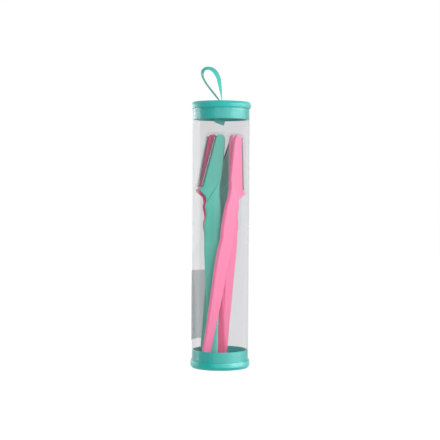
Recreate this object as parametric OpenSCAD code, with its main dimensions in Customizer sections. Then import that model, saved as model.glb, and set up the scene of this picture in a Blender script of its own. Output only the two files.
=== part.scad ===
// Set of five eyebrow razors in a clear tube case. Each razor is a moulded
// handle with a scalloped finger grip, a thin blade set into the slanted edge
// of its flat head, a slotted guard folded over the blade, and a clear cover.
// The case is a clear tube closed by two plug caps, and the top cap carries a
// ribbon loop tied in a knot under it.
//
// The origin is on the tube's axis at the underside of the base cap. +Z is up,
// +X is to the right and +Y to the back, as the case is seen from the front.
// A razor's own frame has its foot at the origin, its length along +Z, its
// blade side towards -X and its thickness along Y.

/* [Tube] */
// Outside diameter of the clear tube
tube_d = 38; // [37:0.1:41]
// Wall of the clear tube
tube_wall = 0.5; // [0.3:0.05:0.7]
// Free height over the covers, in which the knot and its free end hang
head_room = 15.85; // [15:0.05:40]

/* [Plug caps] */
// How far each cap's flange stands out past the tube
flange_over = 0.75; // [0.4:0.05:1.5]
// Height of the upright side of the top cap's flange
lid_flange_t = 2.2; // [1.8:0.1:3]
// Height of the upright side of the base cap's flange
base_flange_t = 3; // [2.4:0.1:3.6]
// Height of the slanting edge of both flanges
cap_bevel_h = 2; // [1.4:0.1:2.4]
// How far the slanting edge of both flanges draws in
cap_bevel_in = 1; // [0.6:0.1:1.6]
// Depth of the top cap's plug inside the tube
lid_plug_len = 7.4; // [6:0.2:10]
// Depth of the base cap's plug inside the tube
base_plug_len = 6.8; // [6:0.2:12]
// Wall of both plugs
plug_wall = 1; // [0.8:0.05:1.2]
// Clearance all round between a plug and the tube
plug_gap = 0.1; // [0.06:0.01:0.15]
// Thickness of the base cap's floor, which the razors stand on
floor_t = 1.6; // [1.2:0.1:2]
// Radius of the rounded outer edges of both caps
cap_edge_r = 0.6; // [0.3:0.05:0.8]
// Diameter of the ribbon hole through the top cap
ribbon_hole_d = 4.2; // [4:0.1:5]

/* [Ribbon] */
// Width of the satin ribbon
ribbon_w = 3.3; // [2.6:0.1:3.4]
// Thickness of the satin ribbon
ribbon_t = 0.3; // [0.2:0.05:0.4]
// Diameter of the knot under the top cap
knot_d = 5.6; // [4.8:0.1:6.4]
// Height of the knot under the top cap
knot_h = 4.6; // [3.6:0.1:5.4]

/* [Label] */
// Height of the bare sticker on the tube
label_h = 46; // [20:1:60]
// Width of the bare sticker, measured round the tube
label_w = 24; // [12:0.5:40]
// Thickness of the sticker
label_t = 0.12; // [0.08:0.01:0.2]
// Height of the sticker's lower edge above the base
label_z = 17.5; // [8:0.5:80]

/* [Razor handle] */
// Length of the handle from its foot to the head
grip_len = 111; // [106:0.5:112]
// Width across the widest part of the grip
grip_w = 11.4; // [10:0.1:11.8]
// Thickness of the grip
grip_t = 3.8; // [3.4:0.1:4]
// Thickness of the flat head
head_t = 2.2; // [2:0.1:2.6]
// Length of the flat head
head_len = 40.6; // [39:0.1:41]

/* [Blade] */
// Angle between the blade's edge and the handle
blade_angle = 15.2; // [14:0.1:16]
// Length of the blade
blade_len = 34; // [32:0.2:34.4]
// Width of the blade strip
blade_w = 4.2; // [3:0.1:5]
// Thickness of the blade strip
blade_t = 0.3; // [0.2:0.02:0.4]
// How far the blade stands out of the head
blade_show = 1.3; // [1:0.05:1.5]
// Width of the ground edge of the blade
grind_w = 0.7; // [0.4:0.05:0.9]

/* [Blade guard] */
// Thickness of the guard's folded sheet
guard_sheet = 0.25; // [0.2:0.01:0.3]
// Distance between the guard's slots
slot_pitch = 1; // [0.9:0.05:1.4]
// Width of one slot
slot_w = 0.5; // [0.35:0.05:0.6]
// Depth of one slot
slot_depth = 0.9; // [0.5:0.05:1]

/* [Razor cover] */
// Wall of the clear cover
cover_wall = 0.45; // [0.35:0.05:0.5]
// Clearance between the cover and the head
cover_gap = 0.25; // [0.2:0.01:0.3]
// How far the cover stands out past the guard
cover_front = 0.95; // [0.85:0.05:1.1]
// Radius of the cover's top corners
cover_corner_r = 2.4; // [1.5:0.1:3]

/* [Hidden] */
RAZORS = ["front_teal", "back_pink", "back_teal", "front_pink", "side_pink"];
PIECES = ["_handle", "_blade", "_guard", "_cover"];
CASE = ["tube", "label", "top_cap", "base_cap", "hang_ribbon", "ribbon_knot"];
// Overrun of every cut past the face that it opens
cut_over = 1;
$fn = 64;
corner_steps = 5;

// Shares of the grip's length, half width to the blade side, half width to the
// back and thickness, from the foot up. The two dips on the blade side and the
// one on the back are the finger grip.
grip_shares = [
    [0.000, 0.180, 0.180, 0.44],
    [0.009, 0.232, 0.232, 0.56],
    [0.030, 0.252, 0.252, 0.63],
    [0.230, 0.325, 0.310, 0.71],
    [0.360, 0.377, 0.370, 0.79],
    [0.495, 0.425, 0.436, 0.87],
    [0.610, 0.465, 0.482, 0.95],
    [0.700, 0.490, 0.463, 1.00],
    [0.748, 0.482, 0.418, 1.00],
    [0.793, 0.469, 0.474, 1.00],
    [0.837, 0.491, 0.500, 1.00],
    [0.878, 0.384, 0.500, 1.00],
    [0.905, 0.382, 0.500, 1.00],
    [0.941, 0.430, 0.496, 1.00],
    [0.968, 0.362, 0.462, 1.00],
    [1.000, 0.392, 0.420, 1.00],
];

// Radii of the case, from the tube in to the cup that the razors stand in
tube_r = tube_d / 2;
bore_r = tube_r - tube_wall;
flange_r = tube_r + flange_over;
plug_r = bore_r - plug_gap;
cup_r = plug_r - plug_wall;

// The nose of both plugs is rounded, and so is the crease where a flange's
// slanting edge meets its upright side. The top cap's top is a skin over the
// hollow plug.
nose_r = 0.5;
crease_r = 0.3;
lid_skin_t = 1.6;
lid_top = lid_flange_t + cap_bevel_h;
lid_ceiling = lid_top - lid_skin_t;

// The sticker lies round the back left of the tube, on a film of glue.
label_turn = 142;
label_glue = 0.02;

// Where the head's straight edges run: the blade seat starts beside the axis
// and above the grip, and the back bows out a little from a straight line
seat_x = 6.2;
seat_rise = 6.4;
seat_z = grip_len + seat_rise;
shoulder_step = 1.67;
back_foot_x = 5.15;
back_rise = 8;
back_foot_z = grip_len + back_rise;
back_angle = 6.65;
head_belly = 0.34;
razor_len = grip_len + head_len;

// The flat head starts at a slanting step in the thickness of the handle.
step_rise = 1.7;
step_z = grip_len + step_rise;
step_angle = 58.8;

// The blade lies in a slot of the head, a little up from the seat's foot, and
// the guard folds round its edge.
seat_over = 0.2;
blade_slot_gap = 0.05;
guard_gap = 0.04;
guard_nose = blade_show + guard_sheet;

// The cover stands off the head and the guard all round.
cover_out = guard_nose + cover_front;
cover_head_room = 1.1;
cover_top = razor_len + cover_head_room + cover_wall;
cover_foot_rise = 2.5;
cover_foot_z = grip_len + cover_foot_rise;
cover_back_rise = 12.6;
cover_back_z = grip_len + cover_back_rise;
cover_back_out = head_belly + cover_gap + cover_wall;
cover_sag = 3;
cover_foot_r = 1.2;
cover_t = head_t + 2 * (cover_gap + cover_wall);

// The case, from the ground up: the base cap's flange, the tube, which is cut
// to the length of the covered razors and the room over them, and the top cap.
// The facets of the tube's wall start at a turn of their own.
tube_z = cap_bevel_h + base_flange_t;
tube_len = floor_t + cover_top + head_room - tube_z;
lid_z = tube_z + tube_len;
tube_turn = 162;

// Shares of the head's length, of the shoulder's step out from the line of the
// blade seat, and of the bow of the back out from its straight line
head_shares = [
    [0.071, 0.15, 0.87],
    [0.098, 0.72, 0.68],
    [0.118, 1.00, 0.50],
    [0.138, 0.90, 0.40],
    [0.155, 0.00, 0.30],
    [0.197, 0.00, 0.30],
    [0.305, 0.00, 1.00],
    [0.419, 0.00, 0.90],
    [0.560, 0.00, 0.70],
    [0.714, 0.00, 0.55],
    [0.862, 0.00, 0.00],
    [0.920, 0.00, -0.60],
    [0.955, 0.00, -1.60],
    [0.980, -0.05, -3.10],
    [1.000, -0.30, -5.90],
];
edge_round_share = 0.34;

// Places of the razors in the case. Each row holds the foot's x and y as shares
// of the cup's radius, the head's x and y as shares of the tube's bore radius,
// and the turn of the razor about its own length.
place_shares = [
    [-0.265, -0.165, -0.300, -0.170, 0],
    [0.090, 0.050, -0.450, 0.065, 0],
    [-0.625, 0.505, 0.085, 0.595, 334],
    [-0.600, -0.575, 0.525, -0.335, 222],
    [0.105, 0.630, 0.485, 0.115, 233],
];
foot_gap = 0.25;

// The knot is a round lump with a slanting turn of ribbon round it. It bears
// on the inside of the top cap, where both ends of the loop reach it.
knot_turn_share = 0.32;
knot_slant = 24;
knot_gap = 0.1;
loop_end = -lid_skin_t - knot_gap;

// Route of the ribbon's loop as [x, y, z, turn], with z from the mouth of the
// hole in the top cap. At turn 0 the ribbon's width runs front to back, and at
// 90 its face looks to the front.
loop_route = [
    [-0.45, 0, loop_end, 0],
    [-0.45, 0, -0.5, 0],
    [-0.9, 0, 0.7, 6],
    [-2.1, 0, 2.2, 12],
    [-3.9, 0, 4.4, 17],
    [-5.8, 0, 6.8, 18],
    [-9.0, 0, 10.8, 19],
    [-11.4, 0, 14.6, 22],
    [-12.5, 0, 17.5, 31],
    [-12.3, 0, 20.2, 42],
    [-10.6, 0, 21.9, 42],
    [-8.2, 0, 22.2, 44],
    [-5.7, 0, 21.2, 56],
    [-3.6, 0, 19.0, 64],
    [-2.0, 0, 15.8, 57],
    [-1.1, 0, 11.3, 43],
    [-0.4, 0, 6.6, 25],
    [0.1, 0, 2.8, 12],
    [0.45, 0, 0.4, 0],
    [0.45, 0, loop_end, 0],
];

// Route of the ribbon's free end below the knot, measured the same way
tail_route = [
    [-0.6, -0.6, -4.6, 90],
    [-2.6, -3.0, -6.6, 90],
    [-4.9, -5.2, -8.8, 90],
    [-5.0, -6.5, -10.8, 90],
    [-2.8, -6.9, -12.4, 90],
    [0.0, -7.0, -13.6, 90],
    [2.2, -7.0, -14.2, 90],
];

// Colours of the razors in the order of RAZORS, and of the other pieces
teal = [0.41, 0.75, 0.67];
deep_teal = [0.36, 0.62, 0.55];
pink = [0.98, 0.58, 0.73];
deep_pink = [0.75, 0.3, 0.45];
razor_colors = [teal, deep_pink, deep_teal, pink, pink];
steel = [0.62, 0.66, 0.66];
dark_steel = [0.3, 0.36, 0.36];
clear = [0.87, 0.91, 0.93, 0.35];

// Values of a table at a height, smoothly between its rows. Each column's
// slope at a row is the weighted mean of the slopes to the rows beside it.
function rise(t, i, c) = (t[i + 1][c] - t[i][c]) / (t[i + 1][0] - t[i][0]);
function slope(t, i, c) =
    i == 0 ? rise(t, 0, c)
    : i == len(t) - 1 ? rise(t, i - 1, c)
    : let (below = t[i][0] - t[i - 1][0], above = t[i + 1][0] - t[i][0])
      (rise(t, i, c) * below + rise(t, i - 1, c) * above) / (below + above);
function between(t, i, c, s) =
    let (h = t[i + 1][0] - t[i][0])
    (2 * s ^ 3 - 3 * s ^ 2 + 1) * t[i][c] + (s ^ 3 - 2 * s ^ 2 + s) * h * slope(t, i, c)
    + (3 * s ^ 2 - 2 * s ^ 3) * t[i + 1][c] + (s ^ 3 - s ^ 2) * h * slope(t, i + 1, c);
function smooth_rows(t, steps) = [
    for (i = [0 : len(t) - 2], k = [0 : steps - 1])
        [for (c = [0 : len(t[0]) - 1]) between(t, i, c, k / steps)],
    t[len(t) - 1],
];

// Points of the arc that rounds the corner c between p and q
function unit(v) = v / norm(v);
function arc_points(p, c, q, r) =
    let (
        u = unit(p - c),
        v = unit(q - c),
        half = acos(u * v) / 2,
        m = c + unit(u + v) * r / sin(half),
        from = c + u * r / tan(half) - m,
        to = c + v * r / tan(half) - m,
        a = atan2(from.y, from.x),
        turn = atan2(from.x * to.y - from.y * to.x, from * to)
    )
    [
        for (k = [0 : corner_steps])
            let (b = a + turn * k / corner_steps)
            m + r * [cos(b), sin(b)],
    ];

// A closed skin through rings of points, each ring with as many points
module skin(rings) {
    n = len(rings[0]);
    last = len(rings) - 1;
    sides = [
        for (i = [0 : last - 1], j = [0 : n - 1])
            let (a = i * n + j, b = i * n + (j + 1) % n)
            each [[a, a + n, b], [b, a + n, b + n]],
    ];
    foot = [[for (j = [0 : n - 1]) j]];
    top = [[for (j = [n - 1 : -1 : 0]) last * n + j]];
    polyhedron([for (ring = rings) each ring], concat(sides, foot, top), convexity = 6);
}

// Distance of the blade side's and the back's straight lines from the axis
function blade_side_x(z, out) =
    -seat_x + (z - seat_z) * tan(blade_angle) - out / cos(blade_angle);
function back_x(z, out) =
    back_foot_x + (z - back_foot_z) * tan(back_angle) + out / cos(back_angle);

// Stations of the handle: height, blade side, back and thickness
grip_rows = [
    for (row = smooth_rows(grip_shares, 3))
        [row[0] * grip_len, -row[1] * grip_w, row[2] * grip_w, row[3] * grip_t]
];
head_rows = [
    for (row = head_shares)
        let (z = grip_len + row[0] * head_len)
        [z, blade_side_x(z, row[1] * shoulder_step), back_x(z, row[2] * head_belly), grip_t]
];

// One cross-section of the handle: a flat section with rounded corners
function section(row) =
    let (r = row[3] * edge_round_share, half = row[3] / 2)
    [
        for (q = [0 : 3], s = [0 : 2])
            let (a = 90 * q + 45 * s)
            [
                (q == 0 || q == 3 ? row[2] - r : row[1] + r) + r * cos(a),
                (q < 2 ? half - r : r - half) + r * sin(a),
                row[0],
            ],
    ];

// Places what is drawn in the frame of the blade seat: +Z along the edge
// towards the tip, -X out of the head
module at_seat() {
    translate([-seat_x, 0, seat_z]) rotate([0, blade_angle, 0]) children();
}

// The handle is one moulding, thinned to the flat head above the slanting step
// and slotted for the blade.
module handle_shape() {
    slot_t = blade_t + 2 * blade_slot_gap;
    slot_in = blade_w - blade_show + blade_slot_gap;
    reach = head_len + grip_w;
    difference() {
        skin([for (row = concat(grip_rows, head_rows)) section(row)]);
        for (side = [0, 1])
            mirror([0, side, 0])
                translate([0, head_t / 2, step_z])
                    rotate([0, -step_angle, 0])
                        translate([-reach, 0, 0])
                            cube([2 * reach, grip_t, reach]);
        at_seat()
            translate([-cut_over, -slot_t / 2, seat_over - blade_slot_gap])
                cube([slot_in + cut_over, slot_t, blade_len + 2 * blade_slot_gap]);
    }
}

module blade_shape() {
    half = blade_t / 2;
    at_seat()
        translate([0, 0, seat_over])
            linear_extrude(blade_len)
                polygon([
                    [-blade_show, 0],
                    [grind_w - blade_show, -half],
                    [blade_w - blade_show, -half],
                    [blade_w - blade_show, half],
                    [grind_w - blade_show, half],
                ]);
}

// The guard is folded sheet with a row of slots across its fold.
module guard_shape() {
    inside_t = blade_t + 2 * guard_gap;
    full_t = inside_t + 2 * guard_sheet;
    slots = floor((blade_len - slot_pitch) / slot_pitch);
    first = (blade_len - (slots - 1) * slot_pitch - slot_w) / 2;
    at_seat()
        translate([0, 0, seat_over])
            difference() {
                translate([-guard_nose, -full_t / 2, 0])
                    cube([guard_nose, full_t, blade_len]);
                translate([-blade_show - guard_gap, -inside_t / 2, -cut_over])
                    cube([guard_nose + cut_over, inside_t, blade_len + 2 * cut_over]);
                for (i = [0 : slots - 1])
                    translate([-guard_nose - cut_over, -full_t, first + i * slot_pitch])
                        cube([slot_depth + cut_over, 2 * full_t, slot_w]);
            }
}

// Outline of the cover in the plane of the razor, as [x, z] points: rounded at
// the top, with a lower edge that sags between the back and the blade side
function cover_outline() =
    let (
        foot = [blade_side_x(cover_foot_z, cover_out), cover_foot_z],
        tip = [blade_side_x(cover_top, cover_out), cover_top],
        heel = [back_x(cover_top, cover_back_out), cover_top],
        back = [back_x(cover_back_z, cover_back_out), cover_back_z],
        low = (foot + back) / 2 - [0, cover_sag]
    )
    concat(
        arc_points(foot, tip, heel, cover_corner_r),
        arc_points(tip, heel, back, cover_corner_r),
        arc_points(heel, back, low, cover_foot_r),
        [
            for (k = [1 : corner_steps - 1])
                let (s = k / corner_steps)
                back * (1 - s) ^ 2 + low * 2 * s * (1 - s) + foot * s ^ 2,
        ],
        arc_points(low, foot, tip, cover_foot_r)
    );

function cavity_outline() =
    let (
        low_z = cover_foot_z - cover_foot_r,
        top_z = cover_top - cover_wall,
        r = cover_corner_r - cover_wall,
        foot = [blade_side_x(low_z, cover_out - cover_wall), low_z],
        tip = [blade_side_x(top_z, cover_out - cover_wall), top_z],
        heel = [back_x(top_z, cover_back_out - cover_wall), top_z],
        back = [back_x(low_z, cover_back_out - cover_wall), low_z]
    )
    concat([foot], arc_points(foot, tip, heel, r), arc_points(tip, heel, back, r), [back]);

// A flat plate with an outline in [x, z], centred on the razor's thickness
module flat_plate(points, t) {
    translate([0, t / 2, 0]) rotate([90, 0, 0]) linear_extrude(t) polygon(points);
}

module cover_shape() {
    difference() {
        flat_plate(cover_outline(), cover_t);
        flat_plate(cavity_outline(), cover_t - 2 * cover_wall);
    }
}

// Puts a razor's own frame where razor i stands: its foot just over the floor
// of the cup, leaning towards the place of its head
module in_place(i) {
    share = place_shares[i];
    foot = [share[0] * cup_r, share[1] * cup_r];
    head = [share[2] * bore_r, share[3] * bore_r];
    lean_back = atan2(head.y - foot.y, seat_z);
    lean_right = atan2(head.x - foot.x, norm([seat_z, head.y - foot.y]));
    tilt = acos(cos(lean_back) * cos(lean_right));
    lift = foot_gap + grip_shares[0][1] * grip_w * sin(tilt);
    translate([foot.x, foot.y, floor_t + lift])
        rotate([-lean_back, 0, 0])
            rotate([0, lean_right, 0])
                rotate([0, 0, share[4]])
                    children();
}

module razor_handle(i) {
    color(razor_colors[i]) in_place(i) handle_shape();
}

module razor_blade(i) {
    color(steel) in_place(i) blade_shape();
}

module razor_guard(i) {
    color(dark_steel) in_place(i) guard_shape();
}

module razor_cover(i) {
    color(clear) in_place(i) cover_shape();
}

module tube() {
    color(clear)
        translate([0, 0, tube_z])
            rotate([0, 0, tube_turn])
                difference() {
                    cylinder(tube_len, r = tube_r);
                    translate([0, 0, -cut_over])
                        cylinder(tube_len + 2 * cut_over, r = bore_r);
                }
}

module label() {
    inner_r = tube_r + label_glue;
    angle = label_w / inner_r * 180 / PI;
    color([0.86, 0.88, 0.88])
        rotate([0, 0, label_turn - angle / 2])
            translate([0, 0, label_z])
                rotate_extrude(angle = angle)
                    translate([inner_r, 0]) square([label_t, label_h]);
}

// Half profiles of the caps as [radius, height], the top cap's from the
// underside of its flange and the base cap's from the ground
function lid_profile() =
    let (
        hole = ribbon_hole_d / 2,
        nose = [plug_r, -lid_plug_len],
        rim = [flange_r, 0],
        crease = [flange_r, lid_flange_t],
        edge = [flange_r - cap_bevel_in, lid_top]
    )
    concat(
        [[hole, lid_ceiling], [cup_r, lid_ceiling], [cup_r, -lid_plug_len]],
        arc_points([cup_r, -lid_plug_len], nose, [plug_r, 0], nose_r),
        [[plug_r, 0], rim],
        arc_points(rim, crease, edge, crease_r),
        arc_points(crease, edge, [hole, lid_top], cap_edge_r),
        [[hole, lid_top]]
    );

function base_profile() =
    let (
        top = tube_z + base_plug_len,
        edge = [flange_r - cap_bevel_in, 0],
        crease = [flange_r, cap_bevel_h],
        nose = [plug_r, top]
    )
    concat(
        [[0, 0]],
        arc_points([0, 0], edge, crease, cap_edge_r),
        arc_points(edge, crease, [flange_r, tube_z], crease_r),
        [[flange_r, tube_z], [plug_r, tube_z]],
        arc_points([plug_r, tube_z], nose, [cup_r, top], nose_r),
        [[cup_r, top], [cup_r, floor_t], [0, floor_t]]
    );

module top_cap() {
    color([0.2, 0.72, 0.66]) translate([0, 0, lid_z]) rotate_extrude() polygon(lid_profile());
}

module base_cap() {
    color([0.4, 0.78, 0.76]) rotate_extrude() polygon(base_profile());
}

// Points between the points of a route, smoothly
function along(r, i, s) =
    let (a = r[max(i - 1, 0)], b = r[i], c = r[i + 1], d = r[min(i + 2, len(r) - 1)])
    b + s * (c - a) / 2 + s ^ 2 * (a - 2.5 * b + 2 * c - d / 2)
    + s ^ 3 * (1.5 * b - a / 2 - 1.5 * c + d / 2);
function smooth_route(r, steps) = [
    for (i = [0 : len(r) - 2], k = [0 : steps - 1]) along(r, i, k / steps),
    r[len(r) - 1],
];

// A flat ring with blunt edges round point i of a route
function ribbon_ring(route, i) =
    let (
        p = route[i],
        ahead = route[min(i + 1, len(route) - 1)],
        behind = route[max(i - 1, 0)],
        tangent = unit([ahead.x - behind.x, ahead.y - behind.y, ahead.z - behind.z]),
        across = unit(cross(tangent, [0, 1, 0])),
        depth = cross(across, tangent),
        wide = depth * cos(p[3]) + across * sin(p[3]),
        thin = cross(tangent, wide),
        w = ribbon_w / 2,
        t = ribbon_t / 2,
        right = [[w, t / 2], [w - t, t], [t - w, t], [-w, t / 2]],
        left = [[-w, -t / 2], [t - w, -t], [w - t, -t], [w, -t / 2]]
    )
    [for (c = concat(right, left)) [p.x, p.y, p.z] + wide * c.x + thin * c.y];

module ribbon(route, steps) {
    path = smooth_route(route, steps);
    translate([0, 0, lid_z + lid_top])
        skin([for (i = [0 : len(path) - 1]) ribbon_ring(path, i)]);
}

module hang_ribbon() {
    color([0.25, 0.72, 0.66]) ribbon(loop_route, 2);
}

module ribbon_knot() {
    half = knot_h / 2;
    turn_r = knot_d / 2 * knot_turn_share;
    flat_r = knot_d / 2 - turn_r;
    under = [flat_r, -half];
    over = [flat_r, half];
    color([0.2, 0.6, 0.55]) {
        translate([0, 0, lid_z + lid_top + loop_end - half]) {
            rotate_extrude()
                polygon(concat(
                    [[0, -half], under],
                    [for (k = [1 : 2 * corner_steps - 1])
                        let (a = 90 * k / corner_steps - 90)
                        [flat_r + turn_r * cos(a), half * sin(a)]],
                    [over, [0, half]]
                ));
            rotate([knot_slant, 0, 0]) rotate_extrude() translate([flat_r, 0]) circle(turn_r);
        }
        ribbon(tail_route, 3);
    }
}

tube();
label();
top_cap();
base_cap();
hang_ribbon();
ribbon_knot();
for (i = [0 : len(RAZORS) - 1]) {
    razor_handle(i);
    razor_blade(i);
    razor_guard(i);
    razor_cover(i);
}
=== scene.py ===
# %% [markdown]
# # Five eyebrow razors in a clear tube case
#
# The real thing is a small set from a beauty counter: five eyebrow razors with
# folded guards stand in a clear tube, a teal cap closes each end, and a satin
# ribbon runs through the top cap as a hanging loop. The packed CAD model gives
# every size and every joint. This script only adds what light shows: moulded
# plastic, ground steel, clear film and woven satin.
#
# Lengths are worked out in millimetres, as a maker would say them, and a mesh
# is scaled to metres when it is made.

# %% Load the packed model
import math

import bmesh
import bpy
import numpy as np
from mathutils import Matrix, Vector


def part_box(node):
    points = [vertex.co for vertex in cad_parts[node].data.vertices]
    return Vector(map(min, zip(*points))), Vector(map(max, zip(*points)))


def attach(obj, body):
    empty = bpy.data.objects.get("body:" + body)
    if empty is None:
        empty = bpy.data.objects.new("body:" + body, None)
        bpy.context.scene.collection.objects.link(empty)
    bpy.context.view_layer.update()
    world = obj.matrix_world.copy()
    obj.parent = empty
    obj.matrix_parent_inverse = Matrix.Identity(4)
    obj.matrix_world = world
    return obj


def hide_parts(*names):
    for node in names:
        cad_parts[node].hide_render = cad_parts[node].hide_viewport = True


MM = 0.001
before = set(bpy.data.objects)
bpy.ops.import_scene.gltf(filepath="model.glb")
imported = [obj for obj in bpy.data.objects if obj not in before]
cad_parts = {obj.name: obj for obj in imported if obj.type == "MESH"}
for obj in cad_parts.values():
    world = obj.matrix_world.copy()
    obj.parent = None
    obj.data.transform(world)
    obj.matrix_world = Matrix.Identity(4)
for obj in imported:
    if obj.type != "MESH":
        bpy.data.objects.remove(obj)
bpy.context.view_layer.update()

# %% [markdown]
# ## The camera
#
# The photograph was taken from straight in front, a little above the middle of
# the case, with a long lens. The object leans about a third of a degree to the
# right in the picture, so the camera is rolled by that much. A short function
# works out where a point lands in a picture of 440 by 440 pixels, and the ends
# of the tube tell whether the camera stands right.

# %% The camera at the photograph's place
PICTURE = 440
PITCH, ROLL = math.radians(1.56), math.radians(0.324)
LID_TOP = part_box("top_cap")[1].z / MM
camera = bpy.data.objects.new("photo_camera", bpy.data.cameras.new("photo_camera"))
bpy.context.scene.collection.objects.link(camera)
camera.location = (-0.00058, -0.8, 0.119)
camera.rotation_euler = (math.pi / 2 - PITCH, -ROLL, 0)
camera.data.lens, camera.data.sensor_width = 99.2, 36
camera.data.clip_start, camera.data.clip_end = 0.05, 20
bpy.context.scene.camera = camera
bpy.context.view_layer.update()


def pixel(point_mm):
    """Where a point lands in the picture: divide by the depth, scale by the lens."""
    x, y, z = camera.matrix_world.inverted() @ Vector([c * MM for c in point_mm])
    scale = PICTURE * camera.data.lens / camera.data.sensor_width
    return round(PICTURE / 2 - scale * x / z, 1), round(PICTURE / 2 + scale * y / z, 1)


print("tube's axis at the top", pixel((0, 0, LID_TOP)), "and at the ground", pixel((0, 0, 0)))

# %% [markdown]
# ## Grids, lofts and turned shapes
#
# Nearly every piece here is one of two surfaces. A turned piece, such as a cap,
# is a half profile carried round the axis. A lofted piece, such as a handle, is
# a ring of points that changes as it is carried along a length. Both are a grid
# of points with one quad in each cell, so one function can make the mesh.

# %% From a grid of points to a mesh
def grid_faces(rows, columns, closed_rows=False, closed_columns=True):
    """Quads between the neighbours of a grid: the corners of cell (i, j) are
    points (i, j), (i, j + 1), (i + 1, j + 1) and (i + 1, j), counted round
    where the grid closes."""
    i = np.arange(rows if closed_rows else rows - 1)[:, None]
    j = np.arange(columns if closed_columns else columns - 1)[None, :]
    i2, j2 = (i + 1) % rows, (j + 1) % columns
    corners = [i * columns + j, i * columns + j2, i2 * columns + j2, i2 * columns + j]
    return np.stack([np.broadcast_to(c, (len(i), j.size)) for c in corners], -1).reshape(-1, 4)


def loft_faces(rows, columns, first=0, flip=False):
    """All faces of a closed loft whose points count up from first: the quads
    between its rings, and one long face over each end ring."""
    quads, ring = grid_faces(rows, columns) + first, np.arange(columns) + first
    ends = [ring[::-1], ring + (rows - 1) * columns]
    return (quads[:, ::-1], [end[::-1] for end in ends]) if flip else (quads, ends)


def make_piece(name, points_mm, faces, uv=None, sharp_deg=35, ends=()):
    """A mesh object at the origin, with its place in its points. faces is an
    array of quads, ends holds longer faces that close it, and uv has one pair
    for each point."""
    mesh = bpy.data.meshes.new(name)
    polygons = faces.tolist() + [list(map(int, e)) for e in ends]
    mesh.from_pydata((np.asarray(points_mm, float).reshape(-1, 3) * MM).tolist(), [], polygons)
    mesh.update()
    if uv is not None:
        corner = np.zeros(len(mesh.loops), int)
        mesh.loops.foreach_get("vertex_index", corner)
        corner_uv = np.asarray(uv, np.float32).reshape(-1, 2)[corner]
        mesh.uv_layers.new(name="UVMap").data.foreach_set("uv", corner_uv.ravel())
    mesh.polygons.foreach_set("use_smooth", np.ones(len(mesh.polygons), bool))
    mesh.set_sharp_from_angle(angle=math.radians(sharp_deg))
    piece = bpy.data.objects.new(name, mesh)
    bpy.context.scene.collection.objects.link(piece)
    return piece


print("a grid of 3 by 4 points has", len(grid_faces(3, 4, closed_columns=False)), "cells")

# %% Directions and turns
def unit(v):
    """Each vector divided by its own length."""
    return v / np.linalg.norm(v, axis=-1, keepdims=True)


def turn_matrix(axis, angle):
    """Rotation about axis 0, 1 or 2: the other two axes take the cosine and the
    sine of the angle."""
    c, s, m = math.cos(angle), math.sin(angle), np.eye(3)
    a, b = (axis + 1) % 3, (axis + 2) % 3
    m[a, a], m[a, b], m[b, a], m[b, b] = c, -s, s, c
    return m


print("a quarter turn about Z takes X to", (turn_matrix(2, math.pi / 2) @ [1, 0, 0]).round(2))

# %% Rounded corners
def round_corners(points, radii, steps=6):
    """A closed outline with its corners rounded. Each arc touches both sides at
    radius / tan(half the corner's angle) from the corner, and its middle lies
    radius / sin(that half) along the bisector. A radius of 0 keeps the point."""
    corner, r = np.asarray(points, float), np.asarray(radii, float)[:, None]
    u, v = unit(np.roll(corner, 1, 0) - corner), unit(np.roll(corner, -1, 0) - corner)
    half = np.arccos(np.clip(np.sum(u * v, -1, keepdims=True), -1, 1)) / 2
    middle = corner + unit(u + v) * r / np.sin(half)
    start, end = (corner + side * r / np.tan(half) - middle for side in (u, v))
    cross = start[:, :1] * end[:, 1:] - start[:, 1:] * end[:, :1]
    turn = np.arctan2(cross, np.sum(start * end, -1, keepdims=True))
    a = np.arctan2(start[:, 1:], start[:, :1]) + turn * np.linspace(0, 1, steps + 1)
    arcs = middle[:, None] + r[:, None] * np.stack([np.cos(a), np.sin(a)], -1)
    return arcs[(r > 0) | (np.arange(steps + 1) == 0)]


square = [[0, 0], [1, 0], [1, 1], [0, 1]]
print("a square with rounded corners has", len(round_corners(square, [0.2] * 4)), "points")

# %% Turned pieces
SAME_POINT, NO_LENGTH = 1e-7, 1e-8


def face_outwards(piece):
    """Points the faces of a closed mesh outwards, after merging the points that
    are nearer than SAME_POINT metres and dropping edges under NO_LENGTH."""
    form = bmesh.new()
    form.from_mesh(piece.data)
    bmesh.ops.remove_doubles(form, verts=form.verts, dist=SAME_POINT)
    bmesh.ops.dissolve_degenerate(form, edges=form.edges, dist=NO_LENGTH)
    bmesh.ops.recalc_face_normals(form, faces=form.faces)
    form.to_mesh(piece.data)
    form.free()
    piece.data.update()


def turned(name, corners, sides=160, steps=6, closed=True):
    """A turned piece. A row of corners is a radius, a height and how round the
    corner is. Point (r, z) of the rounded outline goes to (r cos a, r sin a, z)
    for every angle a."""
    corners = np.asarray(corners, float)
    outline = round_corners(corners[:, :2], corners[:, 2], steps)
    a = np.linspace(0, 2 * math.pi, sides, endpoint=False)[None, :]
    r, z = outline.T[:, :, None]
    points = np.stack([r * np.cos(a), r * np.sin(a), z + 0 * a], -1)
    piece = make_piece(name, points, grid_faces(len(outline), sides, closed_rows=closed))
    face_outwards(piece)
    print(name, len(piece.data.vertices), "points")
    return piece


print("points nearer than", round(SAME_POINT / MM, 6), "mm become one")

# %% [markdown]
# ## The ribbon
#
# The loop is one length of satin ribbon, 3.3 mm wide, that comes out of the hole
# in the top cap, rises to the left, turns over and twists as it comes back. It
# could be a curve with a flat bevel, but a curve twists on its own, and here the
# photograph says where the face shows and where the edge does. So the route has
# a turn at each point, and the ribbon's width follows it. Its edges are woven a
# little thicker, as the selvedge of real ribbon is, and it is cupped slightly.

# %% The ribbon's routes
RIBBON_W, RIBBON_T, LOOP_END, ROUTE_STEPS = 3.3, 0.3, -1.7, 14
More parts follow.
